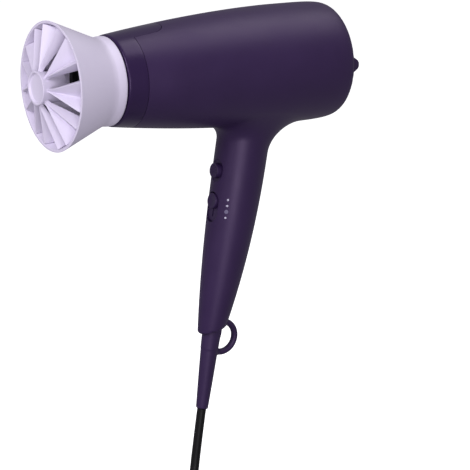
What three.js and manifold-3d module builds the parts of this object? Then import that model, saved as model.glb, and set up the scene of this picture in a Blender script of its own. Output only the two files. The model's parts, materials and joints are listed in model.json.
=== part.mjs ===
// Hair dryer with a vaned diffuser on its outlet. Millimetres, +Z up, the outlet points along -X.
// Inside the model x is counted rearwards from the diffuser's mouth, along the barrel's axis.
// The last lines move the origin to the middle of the grip.
import * as THREE from 'three';
import { mergeVertices } from 'three/addons/utils/BufferGeometryUtils.js';
import Module from 'manifold-3d';

const wasm = await Module();
wasm.setup();

// ---- driving dimensions -------------------------------------------------------------------
const gap = 0.3;                 // clearance between pieces that touch
const wall = 2.3;                // housing shell

const barrel = { front: 44.5, ringEnd: 59.2, widestX: 186, widestR: 44.2, taper: 9.6, end: 230, endR: 38 };
const tongue = { end: 85.2, halfWidth: 13.9, corner: 9 };
const grille = { seat: 37.6, rim: 37.2, inner: 33.8, front: 217, barFront: 220.5, barBack: 223, spokes: 10,
  catchX: 235 };
const handle = { x: 161, z: -44, lean: 10.7, ratio: 0.92, radius: 20.2, end: 159, rearEnd: 150 };
const fillet = { front: 11, side: 12, rear: 24 };
const grip = { along: 75 };      // origin of the part, measured down the handle

const mouth = { radius: 46, wall: 1.7, coneEnd: 35, waist: 31.2, collar: 31.9, length: 43.9 };
const face = { hub: 12, hubFront: -11.5, hubBack: 8, hubDish: 1.5, petals: 8, first: 1.5, rootX: -9 };
const trough = { spread: 0.338, apex: 10.6, fold: -0.27, edge: 1.1, rootDepth: 0.4, rimDepth: 12,
  sheet: 1.9, skirt: 1.2, rootSkirt: 3, rimSkirt: 14.5, lean: 3.2 };
const spigot = { inner: 21.4, outer: 23, front: 47.5, back: 66 };
const element = { stations: [84, 104, 124], radius: 21.5, wire: 3 };     // the heater's wound rings
const clip = { inner: 23.4, outer: 25.2, front: 30, flangeEnd: 43, back: 57.5, flange: 28.9 };

const coolButton = { along: 35, radius: 5.5, proud: 2, dish: 8.6, travel: 2 };
const slider = { along: 57.7, radius: 5.9, proud: 0.3, travel: 9, slot: 3.4, floor: -16.5 };

const screwSites = [{ t: 92, x: 5.5 }, { t: 130, x: 3.5 }];     // down the handle, rearwards of its axis
const sleeve = { start: 139, end: 216, neck: 7.25, tip: 4.8 };
const loop = { x: 8.3, along: 160.3, radius: 11.7, rod: 2.4 };

const cord = { radius: 3.45, sides: 10, rest: 1.1 };
const floorZ = -345;             // surface that the free cord lies on, below the barrel's axis
const coil = { x: 120, y: -79.7, inner: 30.4, outer: 51.6, height: 14.2, tieTurn: -33 };
const plug = { x: 54.1, y: -89.9, turn: -140, length: 42, halfWidth: 18, halfHeight: 12.5 };
const pin = { radius: 2.4, side: 9.5, length: 19, set: 10 };

// ---- finishes -----------------------------------------------------------------------------
function finish(color, roughness, metalness = 0) {
  return new THREE.MeshStandardMaterial({ color, roughness, metalness });
}

const shellPlastic = finish(0x35294a, 0.5);
const glossPlastic = finish(0x2a1d44, 0.25);
const lavender = finish(0xcfc6dd, 0.55);
const blackPlastic = finish(0x17151b, 0.5);
const rubber = finish(0x2c2440, 0.65);
const cordSheath = finish(0x121116, 0.5);
const whiteNylon = finish(0xe6e2da, 0.6);
const mica = finish(0xb8a27a, 0.7);
const nichrome = finish(0x8a8580, 0.4, 1);
const steel = finish(0xa8abb0, 0.35, 1);
const brass = finish(0xb99a55, 0.35, 1);
const board = finish(0x35683f, 0.6);

// ---- helpers ------------------------------------------------------------------------------
const radians = THREE.MathUtils.degToRad;

function closed(geometry) {      // shared vertices merged, slivers dropped, faces turned outwards
  const bare = geometry.clone();
  bare.deleteAttribute('normal');
  bare.deleteAttribute('uv');
  const merged = mergeVertices(bare, 1e-4);
  const { array: p } = merged.attributes.position;
  const { array: index } = merged.index;
  const faces = [];
  let volume = 0;
  for (let i = 0; i < index.length; i += 3) {
    const [a, b, c] = [index[i], index[i + 1], index[i + 2]];
    if (a === b || b === c || a === c) continue;
    faces.push(a, b, c);
    const [u, v, w] = [a, b, c].map((k) => new THREE.Vector3(p[3 * k], p[3 * k + 1], p[3 * k + 2]));
    volume += u.dot(v.cross(w));
  }
  if (volume < 0) faces.reverse();
  return { positions: new Float32Array(p), faces: new Uint32Array(faces) };
}

function solid(geometry) {
  const { positions, faces } = closed(geometry);
  return new wasm.Manifold(new wasm.Mesh({ numProp: 3, vertProperties: positions, triVerts: faces }));
}

function surface(body) {         // a solid back to a geometry with flat shading
  const mesh = body.getMesh();
  const geometry = new THREE.BufferGeometry();
  const points = [];
  for (let i = 0; i < mesh.vertProperties.length; i += mesh.numProp) {
    points.push(...mesh.vertProperties.slice(i, i + 3));
  }
  geometry.setAttribute('position', new THREE.Float32BufferAttribute(points, 3));
  geometry.setIndex(Array.from(mesh.triVerts));
  geometry.computeVertexNormals();
  return geometry;
}

const join = (...bodies) => bodies.reduce((all, body) => all.add(body));
const cut = (body, ...tools) => tools.reduce((left, tool) => left.subtract(tool), body);

function turned(profile, segments = 40) {       // [x, radius] pairs turned about the X axis
  const points = profile.map(([x, r]) => new THREE.Vector2(r, x));
  return new THREE.LatheGeometry(points, segments).rotateZ(-Math.PI / 2);
}

function tube(x0, x1, inner, outer, segments = 40) {
  return turned([[x0, inner], [x1, inner], [x1, outer], [x0, outer], [x0, inner]], segments);
}

function rod(x0, x1, radius, segments = 24) {
  return turned([[x0, 0], [x0, radius], [x1, radius], [x1, 0]], segments);
}

function block(x, y, z, cx = 0, cy = 0, cz = 0) {
  return new THREE.BoxGeometry(x, y, z).translate(cx, cy, cz);
}

function loft(rings) {           // rings of equally many points, with a fan over each end
  const count = rings[0].length;
  const points = rings.flat();
  const faces = [];
  for (let k = 0; k + 1 < rings.length; k++) {
    for (let i = 0; i < count; i++) {
      const a = k * count + i;
      const b = k * count + (i + 1) % count;
      faces.push(a, b, b + count, a, b + count, a + count);
    }
  }
  const middle = (ring) => ring.reduce((s, p) => s.add(p), new THREE.Vector3()).divideScalar(count);
  const last = points.length - count;
  points.push(middle(rings[0]), middle(rings[rings.length - 1]));
  for (let i = 0; i < count; i++) {
    const next = (i + 1) % count;
    faces.push(points.length - 2, next, i, points.length - 1, last + i, last + next);
  }
  const geometry = new THREE.BufferGeometry().setFromPoints(points);
  geometry.setIndex(faces);
  return geometry;
}

function stadium(halfLength, radius, curveSegments = 8) {    // outline along y with round ends
  const shape = new THREE.Shape();
  shape.absarc(0, halfLength, radius, 0, Math.PI, false);
  shape.absarc(0, -halfLength, radius, Math.PI, 2 * Math.PI, false);
  return { shape, curveSegments };
}

function plate({ shape, curveSegments }, depth) {   // outline in y-z, its thickness along +x
  const geometry = new THREE.ExtrudeGeometry(shape, { depth, curveSegments, bevelEnabled: false });
  return geometry.rotateX(Math.PI / 2).rotateZ(Math.PI / 2);
}

function sweep(points, radius, sides, steps) {      // a round tube along a smooth curve
  const knots = points.map((p) => new THREE.Vector3(...p));
  const curve = new THREE.CatmullRomCurve3(knots, false, 'centripetal');
  const shape = new THREE.Shape();
  shape.absarc(0, 0, radius, 0, 2 * Math.PI, false);
  return new THREE.ExtrudeGeometry(shape, { steps, extrudePath: curve, curveSegments: sides });
}

const dryer = new THREE.Group();
const body = new THREE.Group();         // counted from the diffuser's mouth
const stem = new THREE.Group();         // counted from the top of the handle, its axis along -z
body.add(stem);
stem.position.set(handle.x, 0, handle.z);
stem.rotation.y = radians(handle.lean);
stem.updateMatrix();

function piece(name, shape, material, parent = body) {
  const mesh = new THREE.Mesh(surface(shape.isBufferGeometry ? solid(shape) : shape), material);
  mesh.name = name;
  parent.add(mesh);
}

const onStem = (geometry) => geometry.applyMatrix4(stem.matrix);

// ---- outer form ---------------------------------------------------------------------------
function barrelRadius(x) {              // grows from the outlet, turns in sharply at the rear rim
  const { ringEnd, widestX, widestR, taper, end, endR } = barrel;
  if (x < widestX) return widestR - taper * ((widestX - x) / (widestX - ringEnd)) ** 1.72;
  const share = Math.min((x - widestX) / (end - widestX), 1);
  return endR + (widestR - endR) * (1 - share ** 4.5) ** (1 / 4.5);
}

const handleRadius = (t) => handle.radius - 8.6 * (Math.max(t - 15, 0) / 133) ** 2.25;
const handleShift = (t) => 0.35 - 1.6 * ((t - 65) / 83) ** 2;

function barrelCurve(x0, x1, count, inset = 0) {
  return Array.from({ length: count + 1 }, (_, i) => {
    const x = x0 + (x1 - x0) * i / count;
    return [x, barrelRadius(x) - inset];
  });
}

function filletRadius(angle) {          // small in front, wide behind
  const c = Math.cos(angle);
  const end = c > 0 ? fillet.rear : fillet.front;
  return fillet.side + (end - fillet.side) * c * c;
}

function blendedReach(z, angle) {       // how far the handle's skin is from its axis, at one height
  const t = (handle.z - z) / Math.cos(radians(handle.lean));
  const centre = handle.x - Math.tan(radians(handle.lean)) * (handle.z - z) + handleShift(Math.max(t, 0));
  const base = handleRadius(Math.max(t, 0));
  const round = filletRadius(angle);
  const free = base * (1 - (1 - handle.ratio) * Math.sin(angle) ** 2);
  let reach = free;
  for (let r = free; r <= free + round; r += 0.1) {
    const x = centre + r * Math.cos(angle);
    const y = r * Math.sin(angle);
    const offHandle = r - free;
    const offBarrel = Math.hypot(y, z) - barrelRadius(x);
    const bulge = Math.hypot(Math.max(round - offHandle, 0), Math.max(round - offBarrel, 0));
    if (Math.max(round, Math.min(offHandle, offBarrel)) - bulge > 0) break;
    reach = r;
  }
  return new THREE.Vector3(centre + reach * Math.cos(angle), reach * Math.sin(angle), z);
}

function handleForm() {                 // handle with its fillets, cut square below
  const heights = [-26, -34, -39, -42, -44.2, -46, -49, -53, -59, -67, -80];
  for (let t = 56; t < handle.end + 6; t += 17) {
    heights.push(handle.z - t * Math.cos(radians(handle.lean)));
  }
  const sides = 28;
  const ring = (z) => Array.from({ length: sides }, (_, i) => blendedReach(z, 2 * Math.PI * i / sides));
  return solid(loft(heights.map(ring)));
}

function stemRings(stations, radiusAt, shiftAt, sides = 28) {
  return loft(stations.map((t) => Array.from({ length: sides }, (_, i) => {
    const angle = 2 * Math.PI * i / sides;
    const r = radiusAt(t);
    return new THREE.Vector3(shiftAt(t) + r * Math.cos(angle), handle.ratio * r * Math.sin(angle), -t);
  })));
}

// ---- housing ------------------------------------------------------------------------------
function tongueOutline(extra) {         // seen from above, round at its rear end
  const half = tongue.halfWidth + extra;
  const end = tongue.end + extra;
  const { corner } = tongue;
  const shape = new THREE.Shape();
  shape.moveTo(barrel.front - 2, -half);
  shape.lineTo(end - corner, -half);
  shape.absarc(end - corner, -half + corner, corner, -Math.PI / 2, 0, false);
  shape.absarc(end - corner, half - corner, corner, 0, Math.PI / 2, false);
  shape.lineTo(barrel.front - 2, half);
  const depth = 60;
  return solid(new THREE.ExtrudeGeometry(shape, { depth, curveSegments: 5, bevelEnabled: false }));
}

function controlCuts() {                // holes in the front of the handle
  const { along, radius, dish: rim } = coolButton;
  const front = handleShift(along) - handleRadius(along);
  const hole = rod(front - 6, front + 8, radius + gap, 24).translate(0, 0, -along);
  const dish = turned([[front - 4, 0], [front - 4, rim + 2.5], [front, rim], [front + 1.1, radius],
    [front + 1.1, 0]], 28).translate(0, 0, -along);
  const long = stadium(slider.travel / 2, slider.radius + 0.5);
  const track = plate(long, 12).translate(-25, 0, -slider.along - slider.travel / 2);
  return [hole, dish, track].map((tool) => solid(onStem(tool)));
}

function bottomCut(extra) {             // everything below the slanted end of the handle
  const slope = Math.atan2(handle.end - handle.rearEnd, 21);
  const tool = block(120, 90, 90, 0, 0, -45).rotateY(-slope);
  const middle = (handle.end + handle.rearEnd) / 2;
  return solid(onStem(tool.translate(-1.2, 0, -middle - extra)));
}

function loopArc(rodRadius, from, to) { // part of a ring in the handle's mid-plane
  const steps = 12;
  const sides = 10;
  const rings = Array.from({ length: steps + 1 }, (_, k) => {
    const at = radians(from + (to - from) * k / steps);
    return Array.from({ length: sides }, (_, i) => {
      const around = 2 * Math.PI * i / sides;
      const r = loop.radius + rodRadius * Math.cos(around);
      const y = 1.15 * rodRadius * Math.sin(around);
      return new THREE.Vector3(loop.x + r * Math.cos(at), y, r * Math.sin(at) - loop.along);
    });
  });
  return loft(rings);
}

function shellForm() {                  // both halves of the housing in one
  const { ringEnd, end } = barrel;
  const stations = [ringEnd, 90, 120, 150, 172, 195, 210, 220, 225.5, 228.6, 229.8, end];
  const skin = stations.map((x) => [x, barrelRadius(x)]);
  const outer = join(solid(turned([[ringEnd, 0], ...skin, [end, 0]], 40)), handleForm());
  const bore = turned([[ringEnd - 3, 0], ...barrelCurve(ringEnd - 3, 212, 5, wall), [222, grille.seat],
    [end + 3, grille.seat], [end + 3, 0]], 36);
  const hollowStations = [-16, 0, 45, 85, 120, 145, 170];
  const hollow = onStem(stemRings(hollowStations, (t) => handleRadius(t) - wall, handleShift, 24));
  const loopSocket = onStem(loopArc(loop.rod + 0.4, 50, 110));
  const shell = cut(outer, solid(bore), solid(hollow), tongueOutline(gap), bottomCut(0), ...controlCuts(),
    solid(loopSocket));
  return { outer, shell };
}

function across(x0, x1, radius, sides, { x, t }) {     // a rod across the handle, from its mid-plane
  return solid(onStem(rod(x0, x1, radius, sides).rotateZ(Math.PI / 2).translate(x, 0, -t)));
}

function housing() {
  const { outer, shell } = shellForm();
  for (const [name, side] of Object.entries({ left: -1, right: 1 })) {
    const room = solid(block(400, 100, 500, 150, side * (50 + gap / 2), 0));
    let half = shell.intersect(room);
    for (const site of screwSites) {
      const reach = handle.ratio * handleRadius(site.t);
      const post = side > 0 ? across(0.4, reach, 3.3, 12, site) : across(-reach, -0.4, 3.3, 12, site);
      const pilot = side > 0 ? across(-1, 40, 1.9, 12, site) : across(-8, 1, 1.9, 12, site);
      half = half.add(post.intersect(outer)).subtract(pilot);
      if (side > 0) half = half.subtract(across(reach - 3.2, 40, 3, 16, site));
    }
    piece(`housing_${name}`, half, shellPlastic);
  }
}

function screws() {                     // pan-head screws, driven in from the right
  screwSites.forEach(({ x, t }, i) => {
    const head = handle.ratio * handleRadius(t) - 3.2 + gap;
    const screw = turned([[-7, 0], [-6.4, 1.5], [head, 1.5], [head, 2.7], [head + 1.2, 2.5],
      [head + 1.9, 1.4], [head + 1.9, 0]], 16);
    piece(`handle_screw_${i + 1}`, screw.rotateZ(Math.PI / 2).translate(x, 0, -t), steel, stem);
  });
}

function frontRing() {                  // outlet ring with the tongue that lies along the barrel's top
  const { front } = barrel;
  const end = barrel.ringEnd - gap;
  const inside = barrelRadius(end) - wall;
  const ring = turned([[front, 27.2], [front, barrelRadius(front) - 1], [front + 1, barrelRadius(front + 1)],
    ...barrelCurve(front + 5, end, 2), [end, inside - gap], [end + 4, inside - gap], [end + 4, inside - 2],
    [end - 2, 27.2], [front, 27.2]], 40);
  const skin = turned([[end - 1, barrelRadius(end - 1) - wall], ...barrelCurve(end - 1, tongue.end + 1, 4),
    [tongue.end + 1, barrelRadius(tongue.end) - wall], [end - 1, barrelRadius(end - 1) - wall]], 40);
  piece('front_ring', solid(ring).add(solid(skin).intersect(tongueOutline(0))), glossPlastic);
}

function rearGrille() {                 // spoked inlet with a catch at each side that stands out behind
  const { rim, inner, front, barFront, barBack, spokes, catchX } = grille;
  const hoop = tube(front, front + 8, inner, rim, 32);
  const rings = [13, 23].map((r) => solid(tube(barFront, barBack, r, r + 2, 24)));
  const hub = rod(barFront, barBack + 0.6, 5, 16);
  const middle = (barFront + barBack) / 2;
  const bars = Array.from({ length: spokes }, (_, i) => {
    return solid(block(barBack - barFront - 0.3, 1.8, 30, middle, 0, 19).rotateX(2 * Math.PI * i / spokes));
  });
  const tab = (side) => solid(block(catchX - front - 3, 3, 10, (catchX + front + 3) / 2, side * 35.2, 0));
  piece('rear_grille', join(solid(hoop), ...rings, solid(hub), ...bars, tab(-1), tab(1)), shellPlastic);
  piece('inlet_filter', rod(front + 0.4, front + 1.2, inner - 0.8, 24), steel);
}

// ---- diffuser -----------------------------------------------------------------------------
function funnelInside(x) {              // radius of the funnel's inner wall
  return mouth.radius - 2 - (mouth.radius - mouth.waist) * Math.min(x, mouth.coneEnd) / mouth.coneEnd;
}

function funnel() {
  const { radius, waist, collar, length, coneEnd, wall: thick } = mouth;
  const profile = [[0, radius - 2], [0, radius], [1.2, radius - 0.3], [coneEnd, waist],
    [coneEnd + 2.5, waist + 0.1], [coneEnd + 5, collar - 0.1], [length - 1.4, collar],
    [length - 0.3, collar - 1], [length, collar - 2.4], [length, clip.flange + gap],
    [coneEnd + 1, waist - thick], [0, radius - 2]];
  piece('diffuser_funnel', turned(profile, 48), lavender);
}

function petal(turn) {                  // a trough from hub to rim, folded off its middle, with a wall
  const { hub, rootX } = face;          // behind each edge that leans out into the slot
  const { spread, apex, fold, edge, rootDepth, rimDepth, sheet, skirt, rootSkirt, rimSkirt, lean } = trough;
  const rings = [10.5, 14, 24, 46].map((r) => {
    const half = Math.max(spread * (r - apex), 1.2);
    const lip = Math.min(edge, 0.4 * half);
    const thick = Math.min(skirt, 0.45 * half);
    const reach = Math.max((r - hub) / (mouth.radius - 2 - hub), 0);
    const front = rootX + (0.4 - rootX) * reach;
    const depth = rootDepth + (rimDepth - rootDepth) * reach;
    const wallDepth = rootSkirt + (rimSkirt - rootSkirt) * reach;
    const foot = half + 0.3 + lean * reach;
    const outline = [[-half, 0], [-half + lip, 0], [fold * half, depth], [half - lip, 0], [half, 0],
      [foot, wallDepth], [foot - thick, wallDepth], [half - thick, sheet + 0.1], [fold * half, depth + sheet],
      [thick - half, sheet + 0.1], [thick - foot, wallDepth], [-foot, wallDepth]];
    return outline.map(([side, back]) => new THREE.Vector3(front + back, side, r));
  });
  return solid(loft(rings).rotateX(radians(turn)));
}

function diffuserFace() {
  const { hub, hubFront, hubBack, hubDish } = face;
  const floor = hubFront + hubDish;
  const core = solid(turned([[floor, 0], [floor, hub - 2.2], [hubFront + 0.7, hub - 1.6],
    [hubFront, hub - 1.2], [hubFront, hub - 0.4], [hubFront + 0.5, hub], [hubBack, hub - 1.6],
    [hubBack, hub - 3.2], [floor + 1.7, hub - 1.7], [floor + 1.7, 0]], 40));
  const bore = solid(rod(-20, 30, hub - 2.4, 40));
  const petals = Array.from({ length: face.petals }, (_, i) => petal(face.first + 360 * i / face.petals));
  const rimR = funnelInside(0) - gap;
  const room = solid(turned([[hubFront - 1, 0], [hubFront - 1, rimR], [0, rimR], [30, funnelInside(30) - gap],
    [30, 0]], 56));
  piece('diffuser_face', join(core, ...petals.map((p) => p.subtract(bore))).intersect(room), lavender);
}

function clipSleeve() {
  const { inner, outer, front, flangeEnd, back, flange } = clip;
  const profile = [[front, inner], [front, flange - 0.6], [front + 0.6, flange], [flangeEnd, flange],
    [flangeEnd, outer], [back - 3, outer], [back - 1.5, outer + 0.6], [back, outer], [back, inner],
    [front, inner]];
  piece('diffuser_clip_sleeve', turned(profile, 40), blackPlastic);
}

// ---- air path -----------------------------------------------------------------------------
function outlet() {
  const { front, back, inner, outer } = spigot;
  const duct = turned([[front, inner], [back, inner], [back, 30.2], [back - 1.6, 30.2], [back - 1.6, outer],
    [front, outer], [front, inner]], 32);
  piece('outlet_duct', duct, blackPlastic);
  const rings = [8, 14].map((r) => solid(tube(51, 53.5, r, r + 1.3, 24)));
  const hoop = solid(tube(50, 55, 19.5, inner - gap, 24));
  const bar = (i) => solid(block(2.5, 1.3, 17.5, 52.25, 0, 11.5).rotateX(Math.PI * i / 3));
  const bars = Array.from({ length: 6 }, (_, i) => bar(i));
  piece('outlet_grille', join(hoop, ...rings, solid(rod(51, 53.5, 3.4, 16)), ...bars), blackPlastic);
}

function heater() {                     // three wound rings on crossed mica boards, inside a mica tube
  piece('mica_tube', tube(67, 156, 29.3, 30, 32), mica);
  const { stations, radius, wire } = element;
  const notches = stations.map((x) => {
    return solid(tube(x - wire - 0.6, x + wire + 0.6, radius - wire - 0.6, radius + wire + 0.6, 24));
  });
  const rearSlot = solid(block(40, 2, 1.4, 127, 0, 0));
  const frontSlot = solid(block(37.4, 1.4, 2, 88.3, 0, 0));
  piece('mica_board_upright', cut(solid(block(76, 0.8, 56, 108, 0, 0)), ...notches, rearSlot), mica);
  piece('mica_board_level', cut(solid(block(76, 56, 0.8, 108, 0, 0)), ...notches, frontSlot), mica);
  stations.forEach((x, i) => {
    const ring = new THREE.TorusGeometry(radius, wire, 6, 24).rotateY(Math.PI / 2);
    piece(`heater_coil_${i + 1}`, ring.translate(x, 0, 0), nichrome);
  });
  piece('thermostat', block(9, 6, 7, 138, 5, 5), steel);
  piece('thermal_fuse', rod(133, 142, 1.6, 12).translate(0, -5, 5), whiteNylon);
}

function fan() {
  const casing = turned([[151, 30.4], [151, 32], [158, 38], [214, 38], [214, 36.2], [159, 36.2],
    [153.5, 30.4], [151, 30.4]], 32);
  const cup = tube(166, 194, 15.1, 16.6, 24);
  const vane = (i) => solid(block(20, 1.4, 21, 178, 0, 26).rotateX(2 * Math.PI * i / 7));
  const vanes = Array.from({ length: 7 }, (_, i) => vane(i));
  piece('fan_casing', join(solid(casing), solid(cup), ...vanes), blackPlastic);
  const can = [[166, 1.6], [166, 14.6], [190, 14.6], [191.5, 13.4], [191.5, 1.6], [166, 1.6]];
  piece('motor_can', turned(can, 24), steel);
  const cap = [[160, 1.6], [160, 8], [163, 13.6], [165.7, 13.6], [165.7, 1.6], [160, 1.6]];
  piece('motor_end_cap', turned(cap, 24), whiteNylon);
  piece('motor_shaft', rod(161, 212.5, 1.15, 12), steel);
  const hub = turned([[196, 1.5], [196, 13], [210, 13], [213, 10], [213, 1.5], [196, 1.5]], 24);
  const room = solid(tube(195, 213, 12, 34.6, 32));
  const blades = Array.from({ length: 9 }, (_, i) => {
    const flat = block(1.4, 15, 22.2, 0, 0, 23.6).rotateZ(radians(48)).translate(204, 0, 0);
    return solid(flat.rotateX(2 * Math.PI * i / 9)).intersect(room);
  });
  piece('fan_impeller', join(solid(hub), ...blades), whiteNylon);
}

// ---- controls -----------------------------------------------------------------------------
function coolShot() {                   // button and its switch
  const { radius, proud, along } = coolButton;
  const skin = handleShift(along) - handleRadius(along);
  const cap = turned([[skin - proud, 0], [skin - proud, radius - 0.9], [skin - proud + 0.8, radius],
    [skin + 4.6, radius], [skin + 4.6, radius + 1.1], [skin + 5.6, radius + 1.1], [skin + 5.6, 1.8],
    [skin + 6.6, 1.6], [skin + 6.6, 0]], 24);
  piece('cool_shot_button', cap.translate(0, 0, -along), shellPlastic, stem);
  piece('cool_shot_switch', block(8, 12, 14, skin + 13.2, 0, -along), blackPlastic, stem);
}

function heatSlider() {                 // knob, the slotted track that it runs in, and its switch
  const { along, radius, proud, travel, slot, floor } = slider;
  const middle = along + travel / 2;
  const blank = plate(stadium(travel / 2, radius + 0.2), 1).translate(floor, 0, -middle);
  const opening = plate(stadium(travel / 2 + 0.5, slot / 2, 4), 6).translate(floor - 3, 0, -middle);
  piece('slider_track', solid(blank).subtract(solid(opening)), blackPlastic, stem);
  const top = handleShift(along) - handleRadius(along) - proud;
  const cap = turned([[top, 0], [top, radius - 0.9], [top + 0.8, radius], [floor - gap, radius],
    [floor - gap, 0]], 28).translate(0, 0, -along);
  const foot = block(6, 2.4, 2.8, floor + 2, 0, -along);
  piece('slider_knob', join(solid(cap), solid(foot)), shellPlastic, stem);
  piece('slide_switch', block(8, 13, 26, floor + 9.6, 0, -middle), blackPlastic, stem);
  piece('control_board', block(1.6, 24, 62, floor + 15.7, 0, -54), board, stem);
  piece('suppression_capacitor', block(9, 15, 12, floor + 21.4, 0, -40), shellPlastic, stem);
}

// ---- cord ---------------------------------------------------------------------------------
function cordSleeve() {                 // strain relief with the hanging loop, one rubber moulding
  const sides = 20;
  const ring = (t, frontReach, rearReach) => Array.from({ length: sides }, (_, i) => {
    const angle = 2 * Math.PI * i / sides;
    const half = (frontReach + rearReach) / 2;
    const middle = (rearReach - frontReach) / 2;
    return new THREE.Vector3(middle + half * Math.cos(angle), 0.92 * half * Math.sin(angle), -t);
  });
  const down = (t) => (t - 152) / 62;
  const shift = (t) => -1.29 + 2.41 * down(t);
  const taper = (t) => sleeve.neck - (sleeve.neck - sleeve.tip) * down(t) ** 1.25;
  const plain = (t) => ring(t, taper(t) - shift(t), taper(t) + shift(t));
  const rings = [ring(sleeve.start, 9.6, 7.8), ring(147, 9.4, 7.6), ring(149, 9.2, 6.7), ring(153, 8.6, 6.6),
    ring(157, 8.2, 6.8), ring(163, 7.9, 6.3), plain(170), plain(182), plain(196), plain(208),
    plain(sleeve.end - 0.8), ring(sleeve.end, 2.6, 4.9)];
  piece('cord_sleeve', solid(loft(rings)).add(solid(loopArc(loop.rod, 97, -103))), rubber, stem);
  piece('cord_clamp', block(9, 15, 4, -4.8, 0, -112), whiteNylon, stem);
}

const layZ = floorZ + cord.rest + cord.radius;          // centreline of cord lying on the surface
const leadRoute = [[121.9, 0, -256.9], [119.8, 0, -270.6], [117.8, 0, -284.4], [115.9, 0, -298.1],
  [113.7, -1.4, -309.8], [109.3, -7.8, -323.2], [103.4, -17, -334], [97, -26.9, layZ], [94.3, -31.1, layZ]];
const tailRoute = [[65.1, -76.5, -333.6], [62.7, -80.2, -333.3], [59.8, -84.3, -332.8], [56.4, -88, -332.5],
  [plug.x, plug.y, floorZ + plug.halfHeight]];

function freeCord() {
  piece('cord_lead', sweep(leadRoute, cord.radius, cord.sides / 2, 9), cordSheath);
  piece('cord_tail', sweep(tailRoute, cord.radius, cord.sides / 2, 4), cordSheath);
  const { inner, outer, height, tieTurn } = coil;
  const ring = turned([[0, inner], [0, outer], [height, outer], [height, inner], [0, inner]], 32);
  piece('cord_coil', ring.rotateY(-Math.PI / 2).translate(coil.x, coil.y, floorZ + cord.rest), cordSheath);
  const bow = 0.7;                      // the strap is straight where the coil curves
  const frame = (grow) => [[inner - grow - bow, -grow], [outer + grow, -grow], [outer + grow, height + grow],
    [inner - grow - bow, height + grow]].map(([r, z]) => new THREE.Vector2(r, z));
  const strap = new THREE.Shape(frame(gap + 0.8));
  strap.holes.push(new THREE.Path(frame(gap)));
  const band = new THREE.ExtrudeGeometry(strap, { depth: 12, bevelEnabled: false });
  const tie = band.translate(0, 0, -6).rotateX(Math.PI / 2).rotateZ(radians(tieTurn));
  piece('cord_tie', tie.translate(coil.x, coil.y, floorZ + cord.rest), blackPlastic);
}

function mainsPlug() {                  // two-pin moulded plug, lying flat
  const { halfWidth, halfHeight, length } = plug;
  const sides = 24;
  const power = (v) => Math.sign(v) * Math.abs(v) ** 0.7;
  const ring = ([x, y, z]) => Array.from({ length: sides }, (_, i) => {
    const angle = 2 * Math.PI * i / sides;
    return new THREE.Vector3(x, y * power(Math.cos(angle)), z * power(Math.sin(angle)));
  });
  const stations = [[0.5, 4.6, 4.6], [2, 5.4, 5.4], [13, 6.4, 6.2], [19, 11, 9.4], [25, 16, 11.8],
    [31, halfWidth, halfHeight], [length - 1.5, halfWidth, halfHeight],
    [length, halfWidth - 1.5, halfHeight - 1.5]];
  const hole = rod(length - pin.set - 1, length + 5, pin.radius + gap, 16);
  const sockets = [-1, 1].map((side) => solid(hole.clone().translate(0, side * pin.side, 0)));
  const lying = new THREE.Group();
  lying.position.set(plug.x, plug.y, floorZ + halfHeight);
  lying.rotation.z = radians(plug.turn);
  body.add(lying);
  piece('plug_body', cut(solid(loft(stations.map(ring))), ...sockets), rubber, lying);
  [-1, 1].forEach((side, i) => {
    const end = length + pin.length;
    const shank = turned([[length - pin.set, 0], [length - pin.set, pin.radius], [end - 1.6, pin.radius],
      [end, 1.2], [end, 0]], 16);
    piece(`plug_pin_${i + 1}`, shank.translate(0, side * pin.side, 0), brass, lying);
  });
}

function handleLeads() {
  const routes = { live: 1, neutral: -1 };
  for (const [name, side] of Object.entries(routes)) {
    const route = [[-6.5, 2.6 * side, -109.4], [-6, 3 * side, -98], [-7, 4 * side, -86],
      [-7, 4 * side, -75.6]];
    piece(`lead_${name}`, sweep(route, 1.1, 4, 6), name === 'live' ? rubber : whiteNylon, stem);
  }
}

housing();
screws();
frontRing();
rearGrille();
funnel();
diffuserFace();
clipSleeve();
outlet();
heater();
fan();
coolShot();
heatSlider();
cordSleeve();
handleLeads();
freeCord();
mainsPlug();

const alongX = handle.x - grip.along * Math.sin(radians(handle.lean));
const alongZ = handle.z - grip.along * Math.cos(radians(handle.lean));
body.position.set(-alongX, 0, -alongZ);
dryer.add(body);
export default dryer;
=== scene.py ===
# Hair dryer with a vaned diffuser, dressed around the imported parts.
# Shapes are worked out in millimetres, x rearwards from the diffuser's mouth along the barrel,
# and moved to the part's own frame, whose origin is the middle of the grip, as they become meshes.
import json
import math

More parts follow.
